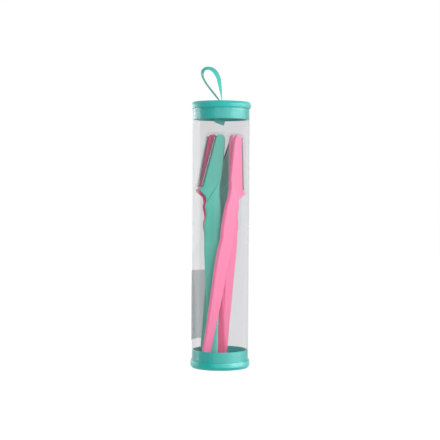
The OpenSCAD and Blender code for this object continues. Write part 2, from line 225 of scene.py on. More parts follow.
# Rows of x, y, height over the top cap, and the turn of the face in degrees.
loop_route = np.array([
    [-0.45, 0, LOOP_END, 0], [-0.45, 0, -0.5, 0], [-0.9, 0, 0.7, 6], [-2.1, 0, 2.2, 12],
    [-3.9, 0, 4.4, 17], [-5.8, 0, 6.8, 18], [-9.0, 0, 10.8, 19], [-11.4, 0, 14.6, 22],
    [-12.5, 0, 17.5, 31], [-12.3, 0, 20.2, 42], [-10.6, 0, 21.9, 42], [-8.2, 0, 22.2, 44],
    [-5.7, 0, 21.2, 56], [-3.6, 0, 19.0, 64], [-2.0, 0, 15.8, 57], [-1.1, 0, 11.3, 43],
    [-0.4, 0, 6.6, 25], [0.1, 0, 2.8, 12], [0.45, 0, 0.4, 0], [0.45, 0, LOOP_END, 0],
])
tail_route = np.array([
    [-0.6, -0.6, -4.6, 90], [-2.6, -3.0, -6.6, 90], [-4.9, -5.2, -8.8, 90],
    [-5.0, -6.5, -10.8, 90], [-2.8, -6.9, -12.4, 90], [0.0, -7.0, -13.6, 90],
    [2.2, -7.0, -14.2, 90],
])


def smooth_route(route, steps):
    """Points between the points of a route: a cubic through each stretch whose
    slope at a point is half the step between that point's neighbours."""
    first, last = route[:1], route[-1:]
    a = np.concatenate([first, route[:-2]])[:, None]
    b, c = route[:-1, None], route[1:, None]
    d = np.concatenate([route[2:], last])[:, None]
    s = np.linspace(0, 1, steps, endpoint=False)[None, :, None]
    inner = b + s * (c - a) / 2 + s**2 * (a - 2.5 * b + 2 * c - d / 2)
    inner = inner + s**3 * (1.5 * b - a / 2 - 1.5 * c + d / 2)
    return np.concatenate([inner.reshape(-1, route.shape[1]), last])


print("loop of", len(loop_route), "points becomes", len(smooth_route(loop_route, ROUTE_STEPS)))

# %% The ribbon's band
# How deep the cup is, how thick the middle is against the edge, and the angle
# in degrees from which an edge is drawn sharp.
RIBBON_CUP, RIBBON_MIDDLE, RIBBON_SHARP = 0.1, 0.72, 60


def ribbon_band(route, around=16):
    """A flat band along a route. At angle a round its section a point lies a
    power of cos a of half the width to the side, and sin a of half the thickness
    to the face. The thickness grows from the middle's share with the sixth power
    of the way to the side, and the cup with its square."""
    path = smooth_route(route, ROUTE_STEPS)
    place, turn = path[:, :3] + [0, 0, LID_TOP], np.radians(path[:, 3])[:, None]
    tangent = unit(np.gradient(place, axis=0))
    across = unit(np.cross(tangent, [0.0, 1.0, 0.0]))
    depth = np.cross(across, tangent)
    wide = depth * np.cos(turn) + across * np.sin(turn)
    thin = np.cross(tangent, wide)
    a = np.linspace(0, 2 * math.pi, around, endpoint=False)
    side = np.sign(np.cos(a)) * np.abs(np.cos(a)) ** 0.75
    thick = RIBBON_T * (RIBBON_MIDDLE + (1 - RIBBON_MIDDLE) * side**6)
    x, y = side * RIBBON_W / 2, np.sin(a) * thick / 2 + RIBBON_CUP * (side**2 - 0.5)
    points = place[:, None] + wide[:, None] * x[None, :, None] + thin[:, None] * y[None, :, None]
    length = np.r_[0, np.cumsum(np.linalg.norm(np.diff(place, axis=0), axis=1))]
    uv = np.stack(np.broadcast_arrays(x[None, :], length[:, None]), -1)
    return place, points, uv, length[-1]


loop_place, points, uv, loop_length = ribbon_band(loop_route)
quads, ends = loft_faces(*points.shape[:2], flip=True)
loop = make_piece("satin_loop", points, quads, uv, RIBBON_SHARP, ends)
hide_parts("hang_ribbon")
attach(loop, "lid")
print("ribbon loop", round(loop_length, 1), "mm long")

# %% [markdown]
# ## The knot
#
# Under the top cap the two ends of the ribbon are tied once. A tied ribbon is
# not a ball: it is a few flat turns that cross, each bulging where the next one
# presses it. So the knot is a soft core with three bands laid round it at
# different slants, and one end of the ribbon hangs out of it.

# %% The knot's core and bands
KNOT_D, KNOT_H = 5.6, 4.6
KNOT_MIDDLE = np.array([0, 0, LID_TOP + LOOP_END - KNOT_H / 2])
CORE_IN, CORE_LOW, BAND_IN, BAND_T = 0.45, 0.1, 0.32, 0.52
# Rows of slant about X, turn about Z, lift and width, one for each band.
knot_turns = [(0.42, 0.3, 0.2, 2.6), (-0.5, 1.1, -0.3, 2.2), (0.15, 2.4, -0.9, 1.8)]


def knot_core(rows=24, columns=48):
    """A squashed ball with shallow furrows: the radius is a superellipse of the
    height, times a ripple that runs slantwise round it. Its top and foot are
    small flat faces, not poles."""
    t = np.linspace(-1, 1, rows)[:, None] * 0.999
    a = np.linspace(0, 2 * math.pi, columns, endpoint=False)[None, :]
    r = (KNOT_D / 2 - CORE_IN) * (1 - np.abs(t) ** 2.6) ** (1 / 2.2)
    r = r * (1 + 0.05 * np.sin(3 * a + 2.5 * t) * (1 - t**2))
    return np.stack([r * np.cos(a), r * np.sin(a), (KNOT_H / 2 - CORE_LOW) * t + 0 * a], -1)


def knot_band(slant, lean, lift, wide, columns=72, around=12):
    """A closed band round the core: a flat oval section carried round a circle
    that is slanted about X, then turned about Z."""
    a = np.linspace(0, 2 * math.pi, columns, endpoint=False)[:, None]
    b = np.linspace(0, 2 * math.pi, around, endpoint=False)[None, :]
    out, up = BAND_T / 2 * np.cos(b), wide / 2 * np.sign(np.sin(b)) * np.abs(np.sin(b)) ** 0.7
    r = KNOT_D / 2 - BAND_IN + 0.1 * np.sin(2 * a + lean) + out
    pinch = 0.8 + 0.2 * np.cos(2 * a + slant)
    ring = np.stack([r * np.cos(a), r * np.sin(a), up * pinch + 0 * a], -1)
    ring = ring @ turn_matrix(0, slant).T @ turn_matrix(2, lean).T
    ring[..., 2] = np.clip(ring[..., 2] + lift, -KNOT_H / 2, KNOT_H / 2)
    return ring


core, bands = knot_core(), [knot_band(*row) for row in knot_turns]
print("knot's core", core.shape[:2], "and bands", [band.shape[:2] for band in bands])

# %% The knot with the ribbon's free end
_, tail, tail_uv, tail_length = ribbon_band(tail_route)
quads, ends = loft_faces(*core.shape[:2])
faces, first = [quads], core[..., 0].size
for band in bands:
    faces.append(grid_faces(*band.shape[:2], closed_rows=True) + first)
    first += band[..., 0].size
quads, tail_ends = loft_faces(*tail.shape[:2], first, flip=True)
lumps = np.concatenate([part.reshape(-1, 3) for part in (core, *bands)]) + KNOT_MIDDLE
lump_uv = np.stack([np.arctan2(lumps[:, 1], lumps[:, 0]) * 2.5, lumps[:, 2]], -1)
knot = make_piece(
    "tied_knot", np.concatenate([lumps, tail.reshape(-1, 3)]), np.concatenate([*faces, quads]),
    np.concatenate([lump_uv, tail_uv.reshape(-1, 2)]), RIBBON_SHARP, ends + tail_ends,
)
face_outwards(knot)
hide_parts("ribbon_knot")
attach(knot, "lid")
tuple(loop_place[0] * MM)
loop_length * MM
(loop_place * MM).tolist()
print("free end", round(tail_length, 1), "mm")

# %% [markdown]
# ## Light
#
# The photograph is a cut-out product picture: soft light from the right and the
# front, a darker left, and pure white behind. So two soft lamps of equal size
# stand in front and to the right, and a smaller one at the right edge. A weak
# one fills from the front left. A long panel stands behind on the left, which
# the tube's wall mirrors as a pale upright band. The last one, at the right, is
# there for the gloss of the mouldings alone: it gives the caps the wide pale
# sheen on their right, and no other light.

# %% Lamps
def soft_lamp(name, place, aim, size, watts):
    """An oblong area lamp that faces a point."""
    lamp = bpy.data.lights.new(name, "AREA")
    lamp.shape, (lamp.size, lamp.size_y) = "RECTANGLE", size
    lamp.energy = watts
    holder = bpy.data.objects.new(name, lamp)
    holder.visible_camera = False
    bpy.context.scene.collection.objects.link(holder)
    holder.location = place
    holder.rotation_euler = (Vector(aim) - Vector(place)).to_track_quat("-Z", "Y").to_euler()
    return holder


MIDDLE = (0, 0, 0.09)
front = soft_lamp("front_right", (0.58, -1.50, 0.55), MIDDLE, (0.8, 1.0), 8.5)
key = soft_lamp("key_right", (1.26, -0.90, 0.52), MIDDLE, (0.8, 1.0), 9)
flank = soft_lamp("flank_right", (1.15, 0.25, 0.46), MIDDLE, (0.5, 0.9), 3.5)
fill = soft_lamp("fill_front", (-0.35, -1.6, 0.5), MIDDLE, (0.8, 0.8), 4)
soft_lamp("panel_left", (-0.96, 0.72, 0.24), (0, 0, 0.12), (1.5, 0.48), 6)
sheen = soft_lamp("sheen_right", (1.24, -0.4, 0.3), MIDDLE, (1.6, 1.0), 34)
sheen.visible_diffuse = False
print(len(bpy.data.lights), "lamps")

# %% [markdown]
# ## Finishes as expressions
#
# A finish is a small node tree, and most of its nodes only do sums. So one class
# stands for a socket, and the ordinary signs on it add the node that does that
# sum: Math for numbers, Vector Math for vectors and Mix for colours. Every other
# node comes from one method that takes its type, its settings and its inputs.

# %% A socket that takes part in sums
class Wire:
    """An output socket. Sums with wires and numbers give new wires."""

    def __init__(self, finish, socket):
        self.finish, self.socket = finish, socket

    def _sum(self, operation, a, b):
        """The node for a sum: Mix where a colour takes part, because a Math node
        would turn it grey, else Vector Math for a vector, else Math."""
        kinds = {w.socket.type for w in (a, b) if isinstance(w, Wire)}
        if "RGBA" in kinds:
            settings = {"data_type": "RGBA", "blend_type": operation}
            a, b = (v if isinstance(v, Wire) else as_colour(v) for v in (a, b))
            return self.finish.add("ShaderNodeMix", settings, {0: 1.0, 6: a, 7: b}, out=2)
        kind = "ShaderNodeVectorMath" if "VECTOR" in kinds else "ShaderNodeMath"
        if kind == "ShaderNodeVectorMath":
            a, b = (v if isinstance(v, Wire) or np.ndim(v) else (v, v, v) for v in (a, b))
        return self.finish.add(kind, {"operation": operation}, {0: a, 1: b})

    def __add__(self, other): return self._sum("ADD", self, other)
    def __radd__(self, other): return self._sum("ADD", other, self)
    def __sub__(self, other): return self._sum("SUBTRACT", self, other)
    def __rsub__(self, other): return self._sum("SUBTRACT", other, self)
    def __mul__(self, other): return self._sum("MULTIPLY", self, other)
    def __rmul__(self, other): return self._sum("MULTIPLY", other, self)
    def __pow__(self, other): return self._sum("POWER", self, other)
    def __rpow__(self, other): return self._sum("POWER", other, self)
    def __gt__(self, other): return self._sum("GREATER_THAN", self, other)
    def __lt__(self, other): return self._sum("LESS_THAN", self, other)


def as_colour(v):
    """A grey for one number, and a colour with its alpha for three."""
    return (v, v, v, 1) if np.ndim(v) == 0 else (*v, 1)


print("grey 0.2 is the colour", as_colour(0.2))

# %% A finish, from which the sums start
class Finish:
    """The node tree of a material or of the world."""

    def __init__(self, owner):
        self.owner = bpy.data.materials.new(owner) if isinstance(owner, str) else owner
        self.owner.use_nodes = True
        self.tree = self.owner.node_tree
        self.tree.nodes.clear()

    def add(self, kind, settings=(), inputs=(), out=0):
        """One node: its settings first, then the values or wires of its inputs."""
        node = self.tree.nodes.new(kind)
        for key, value in dict(settings).items():
            setattr(node, key, value)
        for key, value in dict(inputs).items():
            if isinstance(value, Wire):
                self.tree.links.new(value.socket, node.inputs[key])
            else:
                node.inputs[key].default_value = value
        return Wire(self, node.outputs[out]) if node.outputs else None

    def maths(self, operation, *values):
        """A Math node for what has no sign of its own, such as SINE."""
        return self.add("ShaderNodeMath", {"operation": operation}, dict(enumerate(values)))

    def place(self):
        """Object coordinates: metres in the part's own frame."""
        return self.add("ShaderNodeTexCoord", out="Object")

    def own_map(self):
        """The piece's UV map in millimetres: the pair, then across, then along."""
        uv = self.add("ShaderNodeTexCoord", out="UV")
        return uv, *(self.add("ShaderNodeSeparateXYZ", {}, {0: uv}, out=k) for k in (0, 1))

    def noise(self, size_mm, detail=3.0, rough=0.5, stretch=(1, 1, 1), at=None):
        """Noise from 0 to 1 whose lumps are about size_mm across, longer along
        an axis whose stretch is under 1."""
        spot = (at or self.place()) * tuple(s / size_mm / MM for s in stretch)
        return self.add("ShaderNodeTexNoise", {"noise_dimensions": "3D"},
                        {"Vector": spot, "Scale": 1.0, "Detail": detail, "Roughness": rough})

    def blend(self, share, a, b):
        """Colour a where share is 0 and colour b where it is 1."""
        a, b = (v if isinstance(v, Wire) else as_colour(v) for v in (a, b))
        return self.add("ShaderNodeMix", {"data_type": "RGBA"}, {0: share, 6: a, 7: b}, out=2)

    def dents(self, height, depth_mm, strength=0.5):
        """A normal bent by a height from 0 to 1 that stands for depth_mm."""
        return self.add("ShaderNodeBump", {},
                        {"Strength": strength, "Distance": depth_mm * MM, "Height": height})

    def shader(self, kind, colour, **inputs):
        """A plain shader, such as BsdfDiffuse or Emission, in one colour."""
        return self.add("ShaderNode" + kind, {}, {"Color": as_colour(colour), **inputs})

    def surface(self, colour, **inputs):
        """The main shader, with a colour that is a wire or three numbers."""
        values = {"Base Color": colour if isinstance(colour, Wire) else as_colour(colour)}
        values.update({k.replace("_", " "): v for k, v in inputs.items()})
        return self.add("ShaderNodeBsdfPrincipled", {}, values)

    def mixed(self, share, a, b):
        """Shader a where share is 0 and shader b where it is 1."""
        return self.add("ShaderNodeMixShader", {}, {0: share, 1: a, 2: b})

    def seen_plainly(self):
        """1 for a ray from the camera, off something shiny or through something
        clear, and 0 for the rays that only carry light."""
        camera_ray, shiny, clear = (self.add("ShaderNodeLightPath", out=f"Is {ray} Ray")
                                    for ray in ("Camera", "Glossy", "Transmission"))
        return self.maths("MAXIMUM", self.maths("MAXIMUM", camera_ray, shiny), clear)

    def done(self, shader, kind="Material"):
        """Joins the shader to the output and hands back the material."""
        self.add(f"ShaderNodeOutput{kind}", {}, {"Surface": shader})
        return self.owner


print("a finish knows", [name for name in vars(Finish) if name[0] != "_"])

# %% [markdown]
# ## The studio
#
# Behind the object all is white, and yet the object must not be lit by a white
# room, or its colours would wash out. So the world is a calm grey for light, and
# plain white wherever the camera, a reflection or a view through glass meets it.
# The floor does the same and keeps the object's shadow. A dark card at the front
# left, which only reflections meet, keeps the white out of the left of the caps,
# whose teal is deepest there.

# %% A white world with a calm light
WORLD_LIGHT = 0.42


def make_world():
    """White wherever it is seen, and a calmer grey where it only gives light."""
    bpy.context.scene.world = bpy.data.worlds.new("studio")
    sky = Finish(bpy.context.scene.world)
    light, plain = (sky.shader("Background", 1, Strength=s) for s in (WORLD_LIGHT, 1.0))
    sky.done(sky.mixed(sky.seen_plainly(), light, plain), "World")


make_world()
print("the world gives light at", WORLD_LIGHT, "and is seen at 1")

# %% A pale floor
FLOOR_GLOW, FLOOR_BOUNCE, FLOOR_REACH, FLOOR_DROP = 0.92, 0.35, 3000, 0.05


def pale_floor():
    """Matt floor that holds the object's shadow and glows besides: where it is
    seen, enough to meet the white behind it, and to the rays that carry light,
    as much as a white floor throws back."""
    floor = Finish("pale_floor")
    strength = FLOOR_BOUNCE + floor.seen_plainly() * (FLOOR_GLOW - FLOOR_BOUNCE)
    matt, glow = floor.shader("BsdfDiffuse", 0.2), floor.shader("Emission", 1, Strength=strength)
    return floor.done(floor.add("ShaderNodeAddShader", {}, {0: matt, 1: glow}))


def stage_sheet(name, corners, material):
    """One quad of the studio, which is not part of the object."""
    piece = make_piece(name, corners, np.array([[0, 1, 2, 3]]))
    piece.data.materials.append(material)
    return piece


ground = np.array([[-1, -1], [1, -1], [1, 1], [-1, 1]]) * FLOOR_REACH
stage_sheet("floor", np.c_[ground, [-FLOOR_DROP] * 4], pale_floor())
print("floor seen at", FLOOR_GLOW, "and lighting at", FLOOR_BOUNCE)

# %% A dark card at the front left
card_out, card_along, card_half = np.array([-1160, -780]), np.array([0.56, -0.83]), 800
near, far = card_out - card_along * card_half, card_out + card_along * card_half
matt = Finish("dark_card")
card = stage_sheet("dark_card", [[*near, 0], [*far, 0], [*far, card_half], [*near, card_half]],
                   matt.done(matt.shader("BsdfDiffuse", 0.03)))
card.visible_camera = card.visible_diffuse = False
card.visible_transmission = card.visible_shadow = False
print("dark card", 2 * card_half, "mm wide and", card_half, "mm high")

# %% [markdown]
# ## Where each razor stands
#
# One razor is drawn once, in its own frame: its foot at the origin, its length
# up, its blade to the left and its thickness front to back. Each of the five is
# then leaned and turned to the place that the photograph gives it, with its foot
# in the cup of the base cap and its head against the tube. The same four numbers
# and the turn are in the CAD source.

# %% The five places
TUBE_R, TUBE_WALL, PLUG_GAP, PLUG_WALL = 19.0, 0.5, 0.1, 1.0
BORE_R = TUBE_R - TUBE_WALL
PLUG_R = BORE_R - PLUG_GAP
CUP_R = PLUG_R - PLUG_WALL
FLOOR_T, FOOT_GAP, FOOT_SHARE = 1.6, 0.25, 0.18
GRIP_LEN, GRIP_W = 111, 11.4
SEAT_X, SEAT_Z = 6.2, GRIP_LEN + 6.4
# Foot x and y as shares of the cup, head x and y as shares of the bore, degrees.
places = {
    "front_teal": (-0.265, -0.165, -0.300, -0.170, 0),
    "back_pink": (0.090, 0.050, -0.450, 0.065, 0),
    "back_teal": (-0.625, 0.505, 0.085, 0.595, 334),
    "front_pink": (-0.600, -0.575, 0.525, -0.335, 222),
    "side_pink": (0.105, 0.630, 0.485, 0.115, 233),
}


def standing(name, points):
    """Takes points from the razor's own frame to its place in the case: a turn
    about its length, two leans from foot to head, and a lift that keeps the
    leaned foot off the floor of the cup."""
    fx, fy, hx, hy, turn = places[name]
    foot = np.array([fx * CUP_R, fy * CUP_R])
    head = np.array([hx * BORE_R, hy * BORE_R])
    back = math.atan2(head[1] - foot[1], SEAT_Z)
    right = math.atan2(head[0] - foot[0], math.hypot(SEAT_Z, head[1] - foot[1]))
    tilt = math.acos(math.cos(back) * math.cos(right))
    lift = FOOT_GAP + FOOT_SHARE * GRIP_W * math.sin(tilt)
    turns = turn_matrix(0, -back) @ turn_matrix(1, right) @ turn_matrix(2, math.radians(turn))
    return np.asarray(points, float).reshape(-1, 3) @ turns.T + [foot[0], foot[1], FLOOR_T + lift]


for name in places:
    foot, seat = standing(name, [[0, 0, 0], [0, 0, SEAT_Z]]).round(1)
    print(name, "foot", foot.tolist(), "head", seat.tolist())

# %% [markdown]
# ## The handle
#
# A handle is one moulding: a thin foot, a slow taper up to the finger grip with
# two scallops on the blade side and one on the back, then a slanting step down
# to the flat head. A box with a subdivision surface would lose the scallops. So
# the outline is two tables of widths, read off the CAD, and a ring of points is
# carried up between them. The step is not a separate face: thickness is a field
# over the flat side, and it falls smoothly across a slanting line, as in a mould
# whose corner was rounded by the cutter.

# %% The handle's tables
# Shares of the grip's length, of its width to the blade side and to the back,
# and of its thickness.
grip_shares = np.array([
    [0.000, 0.180, 0.180, 0.44], [0.009, 0.232, 0.232, 0.56], [0.030, 0.252, 0.252, 0.63],
    [0.230, 0.325, 0.310, 0.71], [0.360, 0.377, 0.370, 0.79], [0.495, 0.425, 0.436, 0.87],
    [0.610, 0.465, 0.482, 0.95], [0.700, 0.490, 0.463, 1.00], [0.748, 0.482, 0.418, 1.00],
    [0.793, 0.469, 0.474, 1.00], [0.837, 0.491, 0.500, 1.00], [0.878, 0.384, 0.500, 1.00],
    [0.905, 0.382, 0.500, 1.00], [0.941, 0.430, 0.496, 1.00], [0.968, 0.362, 0.462, 1.00],
    [1.000, 0.392, 0.420, 1.00],
])
# Shares of the head's length, of the shoulder's step on the blade side, and of
# the belly on the back.
head_shares = np.array([
    [0.071, 0.15, 0.87], [0.098, 0.72, 0.68], [0.118, 1.00, 0.50], [0.138, 0.90, 0.40],
    [0.155, 0.00, 0.30], [0.197, 0.00, 0.30], [0.305, 0.00, 1.00], [0.419, 0.00, 0.90],
    [0.560, 0.00, 0.70], [0.714, 0.00, 0.55], [0.862, 0.00, 0.00], [0.920, 0.00, -0.60],
    [0.955, 0.00, -1.60], [0.980, -0.05, -3.10], [1.000, -0.30, -5.90],
])


def smooth_table(table, at):
    """Columns of a table between its rows: a cubic through each pair of rows,
    whose slope at a row is the mean of the slopes on both sides, each weighted
    by the length of the other."""
    z, v = table[:, 0], table[:, 1:]
    rise = np.diff(v, axis=0) / np.diff(z)[:, None]
    below, above = np.diff(z)[:-1, None], np.diff(z)[1:, None]
    mean = (rise[1:] * below + rise[:-1] * above) / (below + above)
    slope = np.concatenate([rise[:1], mean, rise[-1:]])
    i = np.clip(np.searchsorted(z, at, side="right") - 1, 0, len(z) - 2)
    h = (z[i + 1] - z[i])[:, None]
    s = (at - z[i])[:, None] / h
    near = (2 * s**3 - 3 * s**2 + 1) * v[i] + (s**3 - 2 * s**2 + s) * h * slope[i]
    return near + (3 * s**2 - 2 * s**3) * v[i + 1] + (s**3 - s**2) * h * slope[i + 1]


print("widest of the grip", round(float(grip_shares[:, 1:3].sum(1).max()) * GRIP_W, 2), "mm")

# %% The handle's outline and thickness
GRIP_T, HEAD_LEN, HEAD_T = 3.8, 40.6, 2.2
BLADE_ANGLE, BACK_ANGLE, BACK_X, BACK_Z = math.radians(15.2), math.radians(6.65), 5.15, GRIP_LEN + 8
SHOULDER_STEP, HEAD_BELLY = 1.67, 0.34
STEP_ANGLE, STEP_Z, STEP_RUN, STEP_LEAD = math.radians(58.8), GRIP_LEN + 1.7, 0.7, 0.2


def blade_side_x(z, out):
    """The blade side's slanting line at height z, moved out square to itself."""
    return -SEAT_X + (z - SEAT_Z) * math.tan(BLADE_ANGLE) - out / math.cos(BLADE_ANGLE)


def back_x(z, out):
    """The back's slanting line at height z, moved out square to itself."""
    return BACK_X + (z - BACK_Z) * math.tan(BACK_ANGLE) + out / math.cos(BACK_ANGLE)


def handle_outline(z):
    """Left edge, right edge and full thickness at the heights z: the grip's
    table below, and straight lines between the head's rows above."""
    scale = [-GRIP_W, GRIP_W, GRIP_T]
    grip = smooth_table(grip_shares, np.clip(z / GRIP_LEN, 0, 1)) * scale
    at = GRIP_LEN + head_shares[:, 0] * HEAD_LEN
    left = blade_side_x(at, head_shares[:, 1] * SHOULDER_STEP)
    right = back_x(at, head_shares[:, 2] * HEAD_BELLY)
    top = smooth_table(grip_shares, np.array([1.0]))[0] * scale
    at, left, right = np.r_[GRIP_LEN, at], np.r_[top[0], left], np.r_[top[1], right]
    head = np.stack([np.interp(z, at, left), np.interp(z, at, right), 0 * z + GRIP_T], -1)
    return np.where((z > GRIP_LEN)[:, None], head, grip).T


def thickness(x, z, full):
    """Half thickness of the moulding: the grip's, less a smooth step down to the
    head's across the line that rises at STEP_ANGLE from (0, STEP_Z)."""
    past = -math.sin(STEP_ANGLE) * x + math.cos(STEP_ANGLE) * (z - STEP_Z)
    s = np.clip(past / STEP_RUN + STEP_LEAD, 0, 1)
    return full / 2 + (HEAD_T / 2 - full / 2) * s * s * (3 - 2 * s)


grip_half, head_half = (round(float(thickness(0, z, GRIP_T)), 2) for z in (90, 140))
print("half thickness of the grip", grip_half, "and of the head", head_half)

# %% The handle's rings
CORNER_SHARE, CORNER_MOST, SEAM = 0.34, 0.68, 0.035


def handle_rings():
    """Rings up the handle. Across a ring, a corner is a quarter circle and the
    flat is a straight run, both standing off the middle by the thickness. The
    mould's parting line stands a little proud at both edges."""
    # Rows close together at the foot, over the step and round the head's top.
    step_low, step_high, top = GRIP_LEN - 5, GRIP_LEN + 16, GRIP_LEN + HEAD_LEN
    z = np.concatenate([
        [0, 0.12, 0.35, 0.7, 1.1], np.arange(1.7, step_low, 1.1),
        np.arange(step_low, step_high, 0.28), np.arange(step_high, top - 3.6, 0.9),
        np.arange(top - 3.6, top - 0.3, 0.25), top - np.array([0.22, 0.1, 0.03, 0]),
    ])
    left, right, full = handle_outline(z)
    # The first rings are a little smaller, which rounds the foot.
    trim = np.array([0.55, 0.28, 0.1, 0.02])
    left[:4] += trim
    right[:4] -= trim
    full[:4] -= trim
    quarter = np.linspace(0, math.pi / 2, 6)
    flat = np.linspace(0, 1, 26)[1:-1]
    reach = CORNER_SHARE * np.minimum(full, GRIP_T)
    r, q = (np.minimum(reach, CORNER_MOST * thickness(edge, z, full))[:, None]
            for edge in (left, right))
    a, b, rows = left[:, None], right[:, None], z[:, None]
    x = np.concatenate([a + r * (1 - np.cos(quarter)), a + r + (b - q - a - r) * flat,
                        b - q * (1 - np.cos(quarter[::-1]))], 1)
    drop = np.concatenate([r * (1 - np.sin(quarter)), 0 * r + 0 * flat,
                           q * (1 - np.sin(quarter[::-1]))], 1)
    y = thickness(x, rows, full[:, None]) - drop
    front, back = (np.stack([x, side * y, rows + 0 * x], -1) for side in (-1, 1))
    edge_right, edge_left = (np.stack([at, 0 * at, rows], -1) for at in (b + SEAM, a - SEAM))
    return np.concatenate([front, edge_right, back[:, ::-1], edge_left], 1)


rings = handle_rings()
span = round(float(np.ptp(rings[..., 0])), 1)
print("handle", rings.shape[:2], "points,", span, "mm from the shoulder's tip to the back")

# %% The five handles
quads, ends = loft_faces(*rings.shape[:2])
for name in places:
    handle = make_piece(name + "_moulding", standing(name, rings), quads, sharp_deg=40, ends=ends)
    face_outwards(handle)
    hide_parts(name + "_handle")
    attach(handle, name + "_razor")
    print(handle.name, len(handle.data.vertices), "points")

# %% [markdown]
# ## Blade and guard
#
# The blade is a strip of thin steel with a ground edge. The guard is a thinner
# sheet folded over that edge, with a slot punched across the fold every
# millimetre, so that hair reaches the edge and skin does not. Both are straight,
# so a section carried along the blade's seat makes them. The guard's bars and
# its two side bands are separate closed strips, which takes far fewer faces
# than cutting the slots.

# %% Strips along the blade's seat
def at_seat(points):
    """From the seat's frame, up along the blade's edge, to the razor's frame."""
    return np.asarray(points, float) @ turn_matrix(1, BLADE_ANGLE).T + [-SEAT_X, 0, SEAT_Z]


def strips(sections, starts, lengths):
    """Closed prisms side by side: section k, a loop of (x, y) points, stands at
    each start and runs for the length beside it."""
    points, faces, ends, uv, first = [], [], [], [], 0
    for section, z0, run in zip(sections, starts, lengths):
        z = np.repeat([z0, z0 + run], len(section))
        points.append(np.c_[np.tile(section, (2, 1)), z])
        uv.append(np.c_[np.tile(section[:, 0], 2), z])
        quads, caps = loft_faces(2, len(section), first)
        faces.append(quads)
        ends += caps
        first += len(z)
    return np.concatenate(points), np.concatenate(faces), ends, np.concatenate(uv)


def fold_section(inner, outer, nose_x, mouth_x):
    """A U open to +x: an outer fold and an inner one, each half a circle."""
    a = np.linspace(-math.pi / 2, math.pi / 2, 7)
    out = np.stack([nose_x + outer * (1 - np.cos(a)), -outer * np.sin(a)], -1)
    within = np.stack([nose_x + outer - inner * np.cos(a), inner * np.sin(a)], -1)
    mouth = [[mouth_x, outer]], [[mouth_x, -outer], [mouth_x, -inner]], [[mouth_x, inner]]
    return np.concatenate([mouth[0], out, mouth[1], within, mouth[2]])


print("the seat starts at", at_seat([[0, 0, 0]]).round(1).tolist())

# %% Sections of the blade and the guard
SHOW, BLADE_W, BLADE_T, EDGE_T, GRIND, BLADE_LEN, SEAT_OVER = 1.3, 4.2, 0.3, 0.008, 0.7, 34, 0.2
SHEET, GUARD_GAP, SLOT_PITCH, SLOT_W, SLOT_DEPTH = 0.25, 0.04, 1.0, 0.5, 0.9
BAR_THINNER, BAR_LAP = 0.01, 0.1
blade_section = np.array([
    [-SHOW, -EDGE_T / 2], [GRIND - SHOW, -BLADE_T / 2], [BLADE_W - SHOW, -BLADE_T / 2],
    [BLADE_W - SHOW, BLADE_T / 2], [GRIND - SHOW, BLADE_T / 2], [-SHOW, EDGE_T / 2],
])
inside, nose = BLADE_T / 2 + GUARD_GAP, SHOW + SHEET
slots = int((BLADE_LEN - SLOT_PITCH) // SLOT_PITCH)
first_slot = (BLADE_LEN - (slots - 1) * SLOT_PITCH - SLOT_W) / 2
slot_starts = first_slot + SLOT_PITCH * np.arange(slots)
bar_starts, bar_ends = np.r_[0, slot_starts + SLOT_W], np.r_[slot_starts, BLADE_LEN]
low, high = -nose + SLOT_DEPTH, 0
bar = fold_section(inside + BAR_THINNER, inside + SHEET - BAR_THINNER, -nose, low + BAR_LAP)
bands = [np.array([[low, near], [high, near], [high, far], [low, far]])
         for near, far in ((-inside, -inside - SHEET), (inside, inside + SHEET))]
guard_sections = [bar] * len(bar_starts) + bands
guard_starts = np.r_[bar_starts, 0, 0]
guard_runs = np.r_[bar_ends - bar_starts, BLADE_LEN, BLADE_LEN]
print("guard with", slots, "slots and", len(bar_starts), "bars")

# %% The five blades and guards
steel_parts = {
    "_edge": ("_blade", 20, strips([blade_section], [0], [BLADE_LEN])),
    "_fold": ("_guard", 40, strips(guard_sections, guard_starts, guard_runs)),
}
for name in places:
    for ending, (node, sharp_deg, (points, faces, ends, uv)) in steel_parts.items():
        place = standing(name, at_seat(points + [0, 0, SEAT_OVER]))
        piece = make_piece(name + ending, place, faces, uv, sharp_deg, ends)
        face_outwards(piece)
        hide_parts(name + node)
        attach(piece, name + "_razor")
        print(piece.name, len(piece.data.vertices), "points")

# %% [markdown]
# ## The cover
#
# The cover is a clear sheath, moulded with soft corners and open at its foot,
# where its rim sags between the blade side and the back. Two skins, one inside
# the other, would have to be kept apart by hand. So a ring of the outer skin is
# carried up from that rim and drawn in at the top, and a Solidify modifier gives
# the wall, as the cavity of the mould does.

# %% The cover's skin
COVER_WALL, COVER_GAP, COVER_FRONT, COVER_ROOM = 0.45, 0.25, 0.95, 1.1
COVER_R, COVER_SOFT = 2.4, 0.75
COVER_TOP = GRIP_LEN + HEAD_LEN + COVER_ROOM + COVER_WALL
FRONT_OUT, BACK_OUT = nose + COVER_FRONT, HEAD_BELLY + COVER_GAP + COVER_WALL
RIM_FRONT, RIM_BACK, RIM_SAG, RIM_ROUND = GRIP_LEN + 2.5, GRIP_LEN + 12.6, 3, 1.2


def corner_fall(distance, radius):
    """How far a quarter circle has fallen back at a distance from its edge:
    radius - root(radius squared - (radius - distance) squared)."""
    left = radius - np.clip(distance, 0, radius)
    return radius - np.sqrt(radius**2 - left**2)


